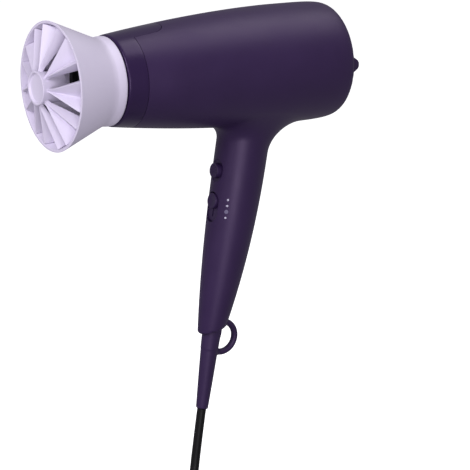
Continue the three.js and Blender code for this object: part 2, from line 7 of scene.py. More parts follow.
import bmesh
import bpy
import numpy as np
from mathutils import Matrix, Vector


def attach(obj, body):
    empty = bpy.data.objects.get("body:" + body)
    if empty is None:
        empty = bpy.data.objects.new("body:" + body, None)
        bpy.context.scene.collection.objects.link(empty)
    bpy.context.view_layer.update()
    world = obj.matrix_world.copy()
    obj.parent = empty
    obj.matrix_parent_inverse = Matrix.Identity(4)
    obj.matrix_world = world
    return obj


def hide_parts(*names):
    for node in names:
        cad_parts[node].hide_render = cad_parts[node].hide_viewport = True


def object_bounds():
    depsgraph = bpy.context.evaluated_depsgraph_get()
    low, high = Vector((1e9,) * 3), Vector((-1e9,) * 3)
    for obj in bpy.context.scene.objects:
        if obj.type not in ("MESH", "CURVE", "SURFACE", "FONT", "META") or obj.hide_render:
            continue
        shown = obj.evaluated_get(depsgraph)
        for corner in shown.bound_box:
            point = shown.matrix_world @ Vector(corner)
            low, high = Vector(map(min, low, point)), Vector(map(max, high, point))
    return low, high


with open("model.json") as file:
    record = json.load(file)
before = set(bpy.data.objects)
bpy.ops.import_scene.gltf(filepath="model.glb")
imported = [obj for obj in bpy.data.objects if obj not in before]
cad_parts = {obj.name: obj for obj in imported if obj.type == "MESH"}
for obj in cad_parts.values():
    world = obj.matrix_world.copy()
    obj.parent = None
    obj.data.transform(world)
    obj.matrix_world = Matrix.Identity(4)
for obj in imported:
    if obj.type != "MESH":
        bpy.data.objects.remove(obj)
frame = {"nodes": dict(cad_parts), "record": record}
cadLow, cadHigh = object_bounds()
print("frame loaded:", len(frame["nodes"]), "parts")

gripPoint = (147.0754, 0.0, -117.6960)     # middle of the grip, measured from the diffuser's mouth
lean = math.radians(10.7)                  # the handle's lean, forwards at its lower end
stemX, stemZ = 161, -44                    # where the handle's axis meets the barrel
mm = 0.001


def toPart(points):                        # millimetres from the mouth to metres in the part's frame
    return (np.asarray(points, float).reshape(-1, 3) - gripPoint) * mm


def alongStem(x, y, t):                    # a point beside the handle's axis, t down from its top
    c, s = math.cos(lean), math.sin(lean)
    return (stemX + c * x - s * t, y, stemZ - s * x - c * t)


def placed(name, data):                    # a new object in the scene
    thing = bpy.data.objects.new(name, data)
    bpy.context.scene.collection.objects.link(thing)
    return thing


# camera
camera = placed("camera", bpy.data.cameras.new("camera"))
camera.location = (-0.77770, -1.21595, 0.35218)
camera.rotation_euler = (math.radians(76), 0, math.radians(-32.76))
camera.data.lens = 152.9
camera.data.sensor_width = 36
camera.data.clip_end = 100
bpy.context.scene.camera = camera

# mains cord: down from the handle, across the surface, six turns in two layers, out to the plug
cordFacts = {"radius": 3.45, "lie": -340.45, "turnsPerLayer": 3, "pointsPerTurn": 28, "length": 1.8}
coilFacts = {"x": 120.0, "y": -79.7, "radii": (47.9, 41.0, 34.1), "stepOver": 70.0,
             "start": (79.7, -53.8), "leadIn": (87, -42.4)}
leadRoute = [(121.9, 0, -256.9), (119.8, 0, -270.6), (117.8, 0, -284.4), (115.9, 0, -298.1),
             (113.7, -1.4, -309.8), (109.3, -7.8, -323.2), (103.4, -17, -334), (97, -26.9, -340.45),
             (94.3, -31.1, -340.45)]
tailRoute = [(65.1, -76.5, -333.6), (62.7, -80.2, -333.3), (59.8, -84.3, -332.8), (56.4, -88, -332.5),
             (54.1, -89.9, -332.5)]


def coilRoute():
    out = coilFacts["radii"]
    layers = list(out) + list(reversed(out))
    start = math.atan2(coilFacts["start"][1] - coilFacts["y"], coilFacts["start"][0] - coilFacts["x"])
    steps = cordFacts["pointsPerTurn"]
    share = coilFacts["stepOver"] / 360
    points = []
    for turn, radius in enumerate(layers):
        last = turn == len(layers) - 1
        lift = 0 if turn < cordFacts["turnsPerLayer"] else 2 * cordFacts["radius"]
        after = radius if last else layers[turn + 1]
        liftAfter = lift if last or turn + 1 < cordFacts["turnsPerLayer"] else 2 * cordFacts["radius"]
        for k in range(steps):
            u = k / steps
            ease = min(max((u - 1 + share) / share, 0), 1)
            ease = ease * ease * (3 - 2 * ease)
            r = radius + (after - radius) * ease
            z = cordFacts["lie"] + lift + (liftAfter - lift) * ease
            a = start + 2 * math.pi * u
            points.append((coilFacts["x"] + r * math.cos(a), coilFacts["y"] + r * math.sin(a), z))
    return points


def smoothed(points, perSpan):             # centripetal curve through the points
    p = [Vector(q) for q in points]
    p = [2 * p[0] - p[1]] + p + [2 * p[-1] - p[-2]]
    out = []
    for i in range(1, len(p) - 2):
        knots = [0.0]
        for j in range(i - 1, i + 2):
            knots.append(knots[-1] + max((p[j + 1] - p[j]).length, 1e-6) ** 0.5)
        for k in range(perSpan):
            t = knots[1] + (knots[2] - knots[1]) * k / perSpan
            a = [p[i - 1 + j].lerp(p[i + j], (t - knots[j]) / (knots[j + 1] - knots[j])) for j in range(3)]
            b = [a[j].lerp(a[j + 1], (t - knots[j]) / (knots[j + 2] - knots[j])) for j in range(2)]
            out.append(b[0].lerp(b[1], (t - knots[1]) / (knots[2] - knots[1])))
    out.append(p[-2])
    return out


coilTop = cordFacts["lie"] + 2 * cordFacts["radius"]
cordLine = smoothed(leadRoute, 4) + [Vector((*coilFacts["leadIn"], cordFacts["lie"]))] + \
    [Vector(q) for q in coilRoute()] + smoothed([(*coilFacts["start"], coilTop)] + tailRoute, 4)
cordCurve = bpy.data.curves.new("mainsCord", "CURVE")
cordCurve.dimensions = "3D"
cordCurve.bevel_depth = 1.0                # scaled by each point's radius, so the curve's box fits it
cordCurve.bevel_resolution = 5
cordCurve.use_fill_caps = True
cordSpline = cordCurve.splines.new("POLY")
cordSpline.points.add(len(cordLine) - 1)
for cordPoint, place in zip(cordSpline.points, toPart([tuple(q) for q in cordLine])):
    cordPoint.co = (*place, 1)
    cordPoint.radius = cordFacts["radius"] * mm
mainsCord = placed("mainsCord", cordCurve)
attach(mainsCord, "housing")
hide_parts("cord_lead", "cord_coil", "cord_tail")
print("camera and cord made")


# materials
def hexColour(text):                       # sRGB hex to linear
    out = []
    for k in (0, 2, 4):
        v = int(text[k:k + 2], 16) / 255
        out.append(v / 12.92 if v <= 0.04045 else ((v + 0.055) / 1.055) ** 2.4)
    return (*out, 1)


def addNode(tree, kind, links=None, **settings):
    node = tree.nodes.new(kind)
    for key, value in settings.items():
        setattr(node, key, value)
    for key, value in (links or {}).items():
        if isinstance(value, bpy.types.NodeSocket):
            tree.links.new(value, node.inputs[key])
        else:
            node.inputs[key].default_value = value
    return node


# grain and bump are the depth and pitch of the tool's texture in millimetres, where they can be seen
plasticFacts = {
    # ABS, injection moulded in a finely eroded tool: even, satin, dark purple
    "housingAbs": {"dark": "251638", "light": "2c1b41", "rough": 0.46, "grain": 0.45, "bump": 0.05,
                   "specular": 0.5, "tint": "e3cdf2"},
    # ABS from a polished tool: glossier than the housing, so the ring reads as its own part
    "ringAbs": {"dark": "221434", "light": "28193c", "rough": 0.3, "grain": 1.8, "bump": 0.006,
                "specular": 0.4, "tint": "e0c8f4"},
    # moulded polypropylene, pale lavender: soft sheen and light shadows
    "diffuserPolypropylene": {"dark": "cdc5da", "light": "d6cfe1", "rough": 0.42, "grain": 0.6,
                              "bump": 0.03, "specular": 0.4},
    # glass-filled nylon, moulded: near black and slightly rough, as hot ducts and switches are
    "ductNylon": {"dark": "121014", "light": "1b181e", "rough": 0.5, "grain": 0.5, "bump": 0.06,
                  "specular": 0.4},
    # moulded elastomer: the housing's purple, duller
    "reliefElastomer": {"dark": "251738", "light": "2d1d42", "rough": 0.5, "grain": 0.35, "bump": 0.08,
                        "specular": 0.5, "tint": "e3cdf2"},
    # extruded PVC sheath: black, faintly shiny
    "cordPvc": {"dark": "070709", "light": "0c0b0e", "rough": 0.42, "grain": 0.9, "bump": 0.06,
                "specular": 0.25},
    # unfilled nylon, moulded: off-white and matt
    "whiteNylon": {"dark": "dcd6c8", "light": "ece8de", "rough": 0.5, "grain": 0.7, "bump": 0.04,
                   "specular": 0.4},
    # pressed mica flakes: brown-gold and cloudy
    "micaSheet": {"dark": "8d7448", "light": "c3a871", "rough": 0.45, "grain": 2.2, "bump": 0.12,
                  "specular": 0.5},
    # glass-epoxy board under green lacquer
    "boardLaminate": {"dark": "1d4a2c", "light": "2b6a40", "rough": 0.42, "grain": 1.2, "bump": 0.08,
                      "specular": 0.5},
    # pad-printed inks, flat and even, one pale and one greyed
    "dotInk": {"dark": "b9b4c8", "light": "c9c4d6", "rough": 0.5, "grain": 0.6, "bump": 0.02,
               "specular": 0.3},
    "greyInk": {"dark": "645c78", "light": "6e6682", "rough": 0.5, "grain": 0.6, "bump": 0.02,
                "specular": 0.3},
}
metalFacts = {
    # zinc-plated steel, rolled: bright grey with a soft blur
    "zincSteel": {"dark": "8c9096", "light": "b9bcc2", "rough": 0.34, "grain": 0.8, "bump": 0.05},
    # nickel-plated brass, drawn and turned: warm and clean
    "nickelBrass": {"dark": "b3ada0", "light": "d2ccbe", "rough": 0.22, "grain": 1.4, "bump": 0.03},
    # nickel-chromium wire, drawn and oxidised by heat: dull brown-grey
    "nichromeWire": {"dark": "5b5652", "light": "8b847d", "rough": 0.4, "grain": 0.8, "bump": 0.08},
}
cloudScale = 38.0                          # one over metres: patches of tone some 26 mm across
glossSpread = 0.08                         # how far the roughness strays, as a share of it


def moulded(name, facts, metallic=0.0):
    material = bpy.data.materials.new(name)
    material.use_nodes = True
    tree = material.node_tree
    shader = tree.nodes["Principled BSDF"]
    place = addNode(tree, "ShaderNodeTexCoord").outputs["Object"]
    # spark-eroded tool texture: fine, even pits
    pits = addNode(tree, "ShaderNodeTexNoise", {"Vector": place, "Scale": 1000 / facts["grain"],
                                                "Detail": 3.0, "Roughness": 0.6})
    # slow change of tone and gloss from the melt's flow and from handling
    cloud = addNode(tree, "ShaderNodeTexNoise", {"Vector": place, "Scale": cloudScale, "Detail": 4.0})
    tone = addNode(tree, "ShaderNodeMix", {"Factor": cloud.outputs["Fac"], 6: hexColour(facts["dark"]),
                                           7: hexColour(facts["light"])}, data_type="RGBA")
    tree.links.new(tone.outputs[2], shader.inputs["Base Color"])
    gloss = addNode(tree, "ShaderNodeMapRange", {"Value": cloud.outputs["Fac"], "From Min": 0.3,
                                                 "From Max": 0.7,
                                                 "To Min": facts["rough"] * (1 - glossSpread),
                                                 "To Max": facts["rough"] * (1 + glossSpread)})
    tree.links.new(gloss.outputs[0], shader.inputs["Roughness"])
    bump = addNode(tree, "ShaderNodeBump", {"Height": pits.outputs["Fac"], "Strength": facts["bump"],
                                            "Distance": facts["grain"] * mm})
    tree.links.new(bump.outputs["Normal"], shader.inputs["Normal"])
    shader.inputs["Metallic"].default_value = metallic
    if "specular" in facts:
        shader.inputs["Specular IOR Level"].default_value = facts["specular"]
    if "tint" in facts:                    # the pigment tints the sheen a little as well
        shader.inputs["Specular Tint"].default_value = hexColour(facts["tint"])
    return material


finishes = {key: moulded(key, facts) for key, facts in plasticFacts.items()}
finishes.update({key: moulded(key, facts, 1.0) for key, facts in metalFacts.items()})
print("materials made")


# mesh helpers
def makeObject(name, points, faces, finish, sharp=32):
    mesh = bpy.data.meshes.new(name)
    mesh.from_pydata([tuple(p) for p in toPart(points)], [], faces)
    mesh.materials.append(finishes[finish])
    piece = placed(name, mesh)
    cleanMesh(mesh, sharp)
    return piece


def cutter(points, faces):                 # a solid to carve with
    return makeObject("cutter", points, faces, "ductNylon")


def cleanMesh(mesh, sharp=32):             # merged, turned outwards, smooth but for its real edges
    work = bmesh.new()
    work.from_mesh(mesh)
    bmesh.ops.remove_doubles(work, verts=work.verts, dist=1e-6)
    bmesh.ops.recalc_face_normals(work, faces=work.faces)
    work.to_mesh(mesh)
    work.free()
    for face in mesh.polygons:
        face.use_smooth = True
    mesh.set_sharp_from_angle(angle=math.radians(sharp))


def settle(piece, sharp=32):               # live modifiers become the mesh itself
    bpy.context.view_layer.update()
    view = bpy.context.evaluated_depsgraph_get()
    mesh = bpy.data.meshes.new_from_object(piece.evaluated_get(view))
    old = piece.data
    piece.modifiers.clear()
    piece.data = mesh
    mesh.name = old.name
    bpy.data.meshes.remove(old)
    cleanMesh(mesh, sharp)
    return piece


def carve(piece, tools, operation="DIFFERENCE"):
    for tool in tools:
        cut = piece.modifiers.new("carve", "BOOLEAN")
        cut.operation, cut.solver, cut.object = operation, "EXACT", tool
        settle(piece)
    for tool in tools:
        bpy.data.objects.remove(tool)
    return piece


def joined(name, parts, body, nodes):
    bpy.ops.object.select_all(action="DESELECT")
    for part in parts:
        part.select_set(True)
    bpy.context.view_layer.objects.active = parts[0]
    if len(parts) > 1:
        bpy.ops.object.join()
    piece = parts[0]
    piece.name = piece.data.name = name
    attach(piece, body)
    if nodes:
        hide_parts(*nodes)
    return piece


def rounded(profile, radius, steps=4):     # corners of an [x, r, corner] outline eased by small arcs
    out = []
    count = len(profile)
    for i, corner in enumerate(profile):
        p = Vector(corner[:2])
        r = corner[2] if len(corner) > 2 else radius
        before, after = Vector(profile[i - 1][:2]), Vector(profile[(i + 1) % count][:2])
        onAxis = p.y < 1e-6
        if onAxis or r <= 0:
            out.append(tuple(p))
            continue
        a = (before - p).normalized() * min(r, (before - p).length * 0.45)
        b = (after - p).normalized() * min(r, (after - p).length * 0.45)
        for k in range(steps + 1):
            u = k / steps
            out.append(tuple(p + a * (1 - u) ** 2 + b * u ** 2))
    return out


def turned(profile, segments=96):          # closed outline of [x, r] turned about the barrel's axis
    points, rings, faces = [], [], []
    for x, r in profile:
        if r < 1e-6:
            rings.append([len(points)] * segments)
            points.append((x, 0, 0))
            continue
        rings.append(list(range(len(points), len(points) + segments)))
        for k in range(segments):
            a = 2 * math.pi * k / segments
            points.append((x, r * math.sin(a), r * math.cos(a)))
    for i, ring in enumerate(rings):
        other = rings[(i + 1) % len(rings)]
        if len(set(ring)) == 1 and len(set(other)) == 1:
            continue
        for k in range(segments):
            n = (k + 1) % segments
            corners = [ring[k], ring[n], other[n], other[k]]
            faces.append(list(dict.fromkeys(corners)))
    return points, faces


def onStem(points):                        # from the handle's own x, y and depth along +x
    return [alongStem(p[0], p[1], -p[2]) for p in points]


def loft(rings):
    count = len(rings[0])
    points = [p for ring in rings for p in ring]
    faces = []
    for k in range(len(rings) - 1):
        for i in range(count):
            a, b = k * count + i, k * count + (i + 1) % count
            faces.append([a, b, b + count, a + count])
    faces.append(list(range(count))[::-1])
    faces.append(list(range(len(points) - count, len(points))))
    return points, faces


def stadium(halfLength, radius, steps=16):
    out = []
    for end in (1, -1):
        for k in range(steps + 1):
            a = math.pi * k / steps
            out.append((radius * math.cos(a) * end, halfLength * end + radius * math.sin(a) * end))
    return out


# outer skin of barrel and handle, one smooth field: below zero inside
barrelFacts = {"ringEnd": 59.2, "widestX": 186, "widestR": 44.2, "taper": 9.6, "end": 230, "endR": 38,
               "wall": 2.3, "tongueEnd": 85.2, "tongueHalf": 13.9, "tongueCorner": 9, "swell": 1.72,
               "turnIn": 4.5}
handleFacts = {"ratio": 0.92, "filletFront": 11, "filletSide": 12, "filletRear": 24, "endFront": 159,
               "endRear": 150, "lip": 1.4, "topR": 20.2, "taper": 8.6, "taperFrom": 15, "taperOver": 133,
               "taperPower": 2.25, "shift": 0.35, "bow": 1.6, "bowAt": 65, "bowOver": 83}


def barrelRadius(x):
    f = barrelFacts
    front = f["widestR"] - f["taper"] * (np.clip(f["widestX"] - x, 0, None)
                                         / (f["widestX"] - f["ringEnd"])) ** f["swell"]
    share = np.clip((x - f["widestX"]) / (f["end"] - f["widestX"]), 0, 1)
    rear = f["endR"] + (f["widestR"] - f["endR"]) * (1 - share ** f["turnIn"]) ** (1 / f["turnIn"])
    return np.where(x < f["widestX"], front, rear)


def handleRadius(t):
    f = handleFacts
    return f["topR"] - f["taper"] * (np.clip(t - f["taperFrom"], 0, None) / f["taperOver"]) ** f["taperPower"]


def handleShift(t):
    f = handleFacts
    return f["shift"] - f["bow"] * ((t - f["bowAt"]) / f["bowOver"]) ** 2


def handleFront(t):                        # the skin's front, seen from the handle's axis
    return float(handleShift(t) - handleRadius(t))


def offStem(x, z):                         # the same place as seen from the handle's axis
    c, s = math.cos(lean), math.sin(lean)
    return c * (x - stemX) - s * (z - stemZ), -s * (x - stemX) - c * (z - stemZ)


def skinField(x, y, z):
    f = handleFacts
    t = np.clip((stemZ - z) / math.cos(lean), 0, None)
    dx = x - (stemX - math.tan(lean) * (stemZ - z) + handleShift(t))
    reach = np.hypot(dx, y) + 1e-9
    c, s = dx / reach, y / reach
    offHandle = np.maximum(reach - handleRadius(t) * (1 - (1 - f["ratio"]) * s * s), z + 26)
    offBarrel = np.maximum(np.hypot(y, z) - barrelRadius(x), np.maximum(x - barrelFacts["end"] - 3, 52 - x))
    end = np.where(c > 0, f["filletRear"], f["filletFront"])
    soft = f["filletSide"] + (end - f["filletSide"]) * c * c
    hollow = np.hypot(np.maximum(soft - offHandle, 0), np.maximum(soft - offBarrel, 0))
    skin = np.maximum(soft, np.minimum(offHandle, offBarrel)) - hollow
    # slanted lower end, its edge eased
    xl, tl = offStem(x, z)
    slope = math.atan2(f["endFront"] - f["endRear"], 21)
    middle = (f["endFront"] + f["endRear"]) / 2
    below = (tl - middle) * math.cos(slope) + (xl + 1.2) * math.sin(slope)
    lip = f["lip"]
    corner = np.hypot(np.maximum(skin + lip, 0), np.maximum(below + lip, 0))
    return np.minimum(np.maximum(skin, below) + lip, 0) + corner - lip


def fieldMesh(field, low, high, step, rounds=5):   # surface nets, then every point set on the field
    axes = [np.arange(low[k], high[k] + step, step) for k in range(3)]
    x, y, z = np.meshgrid(*axes, indexing="ij")
    inside = field(x, y, z) < 0
    shape = [n - 1 for n in inside.shape]
    count = np.zeros(shape, int)
    for i in (0, 1):
        for j in (0, 1):
            for k in (0, 1):
                count += inside[i:shape[0] + i, j:shape[1] + j, k:shape[2] + k]
    live = (count > 0) & (count < 8)
    number = np.full(shape, -1)
    number[live] = np.arange(live.sum())
    cells = np.argwhere(live)
    points = np.stack([axes[k][cells[:, k]] + step / 2 for k in range(3)], 1)
    faces = []
    for axis in range(3):
        u, v = (axis + 1) % 3, (axis + 2) % 3
        a = np.moveaxis(inside, [axis, u, v], [0, 1, 2])
        n = np.moveaxis(number, [axis, u, v], [0, 1, 2])
        first, second = a[:-1, 1:-1, 1:-1], a[1:, 1:-1, 1:-1]
        quad = np.stack([n[:, :-1, :-1], n[:, 1:, :-1], n[:, 1:, 1:], n[:, :-1, 1:]], -1)
        faces.append(quad[first & ~second])
        faces.append(quad[~first & second][:, ::-1])
    faces = np.concatenate(faces)
    around = np.concatenate([faces[:, [0, 1]], faces[:, [1, 2]], faces[:, [2, 3]], faces[:, [3, 0]]])
    degree = np.bincount(around[:, 0], minlength=len(points)) + np.bincount(around[:, 1],
                                                                             minlength=len(points))
    reach = 0.01 * step
    for turn in range(rounds):
        if turn:                           # evened out along the surface
            total = np.zeros_like(points)
            np.add.at(total, around[:, 0], points[around[:, 1]])
            np.add.at(total, around[:, 1], points[around[:, 0]])
            points = 0.4 * points + 0.6 * total / degree[:, None]
        for _ in range(4):
            value = field(*points.T)
            slope = np.stack([(field(*(points + reach * np.eye(3)[k]).T) - value) / reach
                              for k in range(3)], 1)
            size = np.maximum((slope ** 2).sum(1), 0.05)
            points = points - np.clip(value / size, -step, step)[:, None] * slope
    return points, faces.tolist()


# controls: where they sit on the handle
buttonFacts = {"along": 35, "radius": 5.5, "proud": 2, "dish": 8.7, "sunk": 1.8}
sliderFacts = {"along": 57.7, "radius": 5.9, "proud": 0.3, "travel": 9, "floor": -16.5}
screwFacts = {"sites": ((5.5, 92), (3.5, 130)), "sunk": 3.2}


def stemTurned(profile, t, segments=64):   # turned about a line square to the handle, at depth t
    points, faces = turned(profile, segments)
    return onStem([(p[0], p[1], p[2] - t) for p in points]), faces


def crossTurned(profile, x, t):            # turned about a line across the handle, towards +Y
    points, faces = turned(profile, 40)
    return onStem([(x + p[2], p[0], p[1] - t) for p in points]), faces


def slotBlock(wider, low, high, longer=0, radius=sliderFacts["radius"]):   # along the slider's travel
    half, middle = sliderFacts["travel"] / 2, sliderFacts["along"] + sliderFacts["travel"] / 2
    return loft([onStem([(x, p[0], p[1] - middle) for p in stadium(half + longer, radius + wider)])
                 for x in (low, high)])


boxFaces = [(0, 1, 3, 2), (4, 6, 7, 5), (0, 4, 5, 1), (2, 3, 7, 6), (0, 2, 6, 4), (1, 5, 7, 3)]


def box(name, size, centre, turn=0.0):
    points = [(sx * size[0] / 2, sy * size[1] / 2, sz * size[2] / 2)
              for sx in (-1, 1) for sy in (-1, 1) for sz in (-1, 1)]
    c, s = math.cos(turn), math.sin(turn)
    points = [(c * p[0] + s * p[2] + centre[0], p[1] + centre[1], c * p[2] - s * p[0] + centre[2])
              for p in points]
    return makeObject(name, points, boxFaces, "ductNylon")


def tonguePrism(extra):
    f = barrelFacts
    half, end, r = f["tongueHalf"] + extra, f["tongueEnd"] + extra, f["tongueCorner"]
    outline = [(40, half), (40, -half)]
    for first, side in ((-90, -1), (0, 1)):
        for k in range(13):
            a = math.radians(first + 7.5 * k)
            outline.append((end - r + r * math.cos(a), side * (half - r) + r * math.sin(a)))
    return cutter(*loft([[(x, y, z) for x, y in outline] for z in (0, 60)]))


def housing():
    f = barrelFacts
    step = 1.5
    points, faces = fieldMesh(skinField, (48, -48, -208), (234, 48, 48), step)
    shell = makeObject("housingShell", points, faces, "housingAbs", sharp=180)
    tools = [box("cutter", (40, 120, 120), (f["ringEnd"] - 20, 0, 0)),
             box("cutter", (20, 120, 120), (f["end"] + 9.4, 0, 0))]
    xs = np.linspace(f["ringEnd"] - 3, 212, 24)
    bore = [(f["ringEnd"] - 3, 0)] + [(x, float(barrelRadius(x)) - f["wall"]) for x in xs] + \
        [(222, 37.6), (233, 37.6), (233, 0)]
    tools.append(cutter(*turned(bore, 112)))
    rings = []
    for t in (-16, 0, 20, 45, 65, 85, 102, 120, 133, 145, 158, 172):
        r = float(handleRadius(t)) - f["wall"]
        shift = float(handleShift(t))
        rings.append(onStem([(shift + r * math.cos(a), handleFacts["ratio"] * r * math.sin(a), -t)
                             for a in np.linspace(0, 2 * math.pi, 57)[:-1]]))
    tools.append(cutter(*loft(rings)))
    tools.append(tonguePrism(0.3))
    b = buttonFacts
    front = handleFront(b["along"])
    dish = rounded([(front - 4, 0), (front - 4, b["dish"] + 1.4), (front + 0.1, b["dish"], 0.8),
                    (front + b["sunk"], b["dish"] - 1.3, 0.8), (front + b["sunk"], b["radius"] + 0.3, 0.1),
                    (front + 8, b["radius"] + 0.3), (front + 8, 0)], 0)
    tools.append(cutter(*stemTurned(dish, b["along"])))
    tools.append(cutter(*slotBlock(0.9, -26, -13)))
    for x, t in screwFacts["sites"]:
        reach = handleFacts["ratio"] * float(handleRadius(t))
        well = [(reach - screwFacts["sunk"], 0), (reach - screwFacts["sunk"], 3), (reach + 20, 3),
                (reach + 20, 0)]
        tools.append(cutter(*crossTurned(well, x, t)))
    carve(shell, tools)
    halves = {"housingLeft": ("housing_left", -1), "housingRight": ("housing_right", 1)}
    for name, (node, side) in halves.items():
        half = placed(name, shell.data.copy())
        work = bmesh.new()
        work.from_mesh(half.data)
        everything = work.verts[:] + work.edges[:] + work.faces[:]
        cutAway = bmesh.ops.bisect_plane(work, geom=everything, plane_co=(0, side * 0.00008, 0),
                                         plane_no=(0, side, 0), clear_inner=True, dist=1e-7)
        rim = [e for e in cutAway["geom_cut"] if isinstance(e, bmesh.types.BMEdge)]
        bmesh.ops.triangle_fill(work, edges=rim, use_dissolve=False)
        work.to_mesh(half.data)
        work.free()
        cleanMesh(half.data, 38)
        joined(name, [half], "housing", [node])
    bpy.data.objects.remove(shell)
    print("housing made")


housing()


def frontRing():
    f = barrelFacts
    end = f["ringEnd"] - 0.25
    r = [float(barrelRadius(x)) for x in (44.5, 47, 50, 53, 56, end)]
    outline = rounded([(44.5, 27.2, 0.4), (44.5, r[0], 1.1), (47, r[1], 0), (50, r[2], 0), (53, r[3], 0),
                       (56, r[4], 0), (end, r[5], 0.25), (end, r[5] - 2.6, 0), (end + 4, r[5] - 2.6, 0),
                       (end + 4, r[5] - 4.3, 0), (end - 2, 27.2, 0)], 0)
    ring = makeObject("ring", *turned(outline, 160), "ringAbs")
    xs = np.linspace(end - 1, f["tongueEnd"] + 1, 20)
    skin = [(x, float(barrelRadius(x))) for x in xs] + \
        [(x, float(barrelRadius(x)) - f["wall"]) for x in xs[::-1]]
    tongue = makeObject("tongue", *turned(skin, 160), "ringAbs")
    carve(tongue, [tonguePrism(0)], "INTERSECT")
    carve(ring, [tongue], "UNION")
    joined("outletRing", [ring], "housing", ["front_ring"])
    print("outlet ring made")


frontRing()


# diffuser
mouthFacts = {"radius": 46, "wall": 1.7, "coneEnd": 35, "waist": 31.2, "collar": 31.9, "length": 43.9}
troughFacts = {"hub": 12, "hubFront": -11.5, "hubBack": 8, "dish": 1.5, "count": 8, "first": 1.5,
               "rootX": -9, "spread": 0.338, "apex": 10.6, "fold": -0.27, "edge": 1.0, "rootDepth": 0.4,
               "rimDepth": 12, "sheet": 1.4, "skirt": 1.2, "rootSkirt": 3, "rimSkirt": 14.5, "lean": 3.2,
               "gap": 0.35}


def funnelInside(x):
    f = mouthFacts
    return f["radius"] - 2 - (f["radius"] - f["waist"]) * min(x, f["coneEnd"]) / f["coneEnd"]


def funnel():
    f = mouthFacts
    outline = rounded([(0, f["radius"] - 2, 0.3), (0, f["radius"], 0.5), (f["coneEnd"] + 0.5, f["waist"], 5),
                       (f["coneEnd"] + 5, f["collar"], 2.5), (f["length"], f["collar"], 2.2),
                       (f["length"], 29.2, 0.3), (f["coneEnd"] + 1, f["waist"] - f["wall"], 1.0)], 0, 8)
    piece = makeObject("funnel", *turned(outline, 176), "diffuserPolypropylene", 40)
    joined("diffuserFunnel", [piece], "diffuser", ["diffuser_funnel"])


def newTree(name, inputs):                 # a tree with named inputs, and their identifiers
    tree = bpy.data.node_groups.new(name, "GeometryNodeTree")
    ids = {}
    for label, kind in inputs.items():
        socket = tree.interface.new_socket(name=label, in_out="INPUT", socket_type="NodeSocket" + kind)
        ids[label] = socket.identifier
    tree.interface.new_socket(name="Geometry", in_out="OUTPUT", socket_type="NodeSocketGeometry")
    return tree, ids


def finishTree(tree, shape, finish):       # real copies, dressed, at the tree's end
    whole = addNode(tree, "GeometryNodeRealizeInstances", {"Geometry": shape.outputs[0]})
    dressed = addNode(tree, "GeometryNodeSetMaterial", {"Geometry": whole.outputs[0],
                                                        "Material": finishes[finish]})
    addNode(tree, "NodeGroupOutput", {"Geometry": dressed.outputs[0]})


def arrayed(piece, count, firstAngle, finish):     # copies turned about the barrel's axis
    tree, ids = newTree(piece.name + "Turns", {"Geometry": "Geometry", "Count": "Int",
                                               "First Angle": "Float", "Axis Point": "Vector"})
    start = addNode(tree, "NodeGroupInput").outputs
    back = addNode(tree, "ShaderNodeVectorMath", {0: start["Axis Point"], "Scale": -1.0}, operation="SCALE")
    centred = addNode(tree, "GeometryNodeTransform", {"Geometry": start["Geometry"],
                                                      "Translation": back.outputs["Vector"]})
    points = addNode(tree, "GeometryNodePoints", {"Count": start["Count"], "Position": start["Axis Point"]})
    index = addNode(tree, "GeometryNodeInputIndex")
    share = addNode(tree, "ShaderNodeMath", {0: index.outputs[0], 1: start["Count"]}, operation="DIVIDE")
    angle = addNode(tree, "ShaderNodeMath", {0: share.outputs[0], 1: 2 * math.pi, 2: start["First Angle"]},
                    operation="MULTIPLY_ADD")
    turn = addNode(tree, "ShaderNodeCombineXYZ", {"X": angle.outputs[0]})
    copies = addNode(tree, "GeometryNodeInstanceOnPoints",
                     {"Points": points.outputs[0], "Instance": centred.outputs["Geometry"],
                      "Rotation": turn.outputs[0]})
    finishTree(tree, copies, finish)
    array = piece.modifiers.new("turns", "NODES")
    array.node_group = tree
    array[ids["Count"]] = count
    array[ids["First Angle"]] = firstAngle
    array[ids["Axis Point"]] = tuple(toPart([(0, 0, 0)])[0])
    return settle(piece)


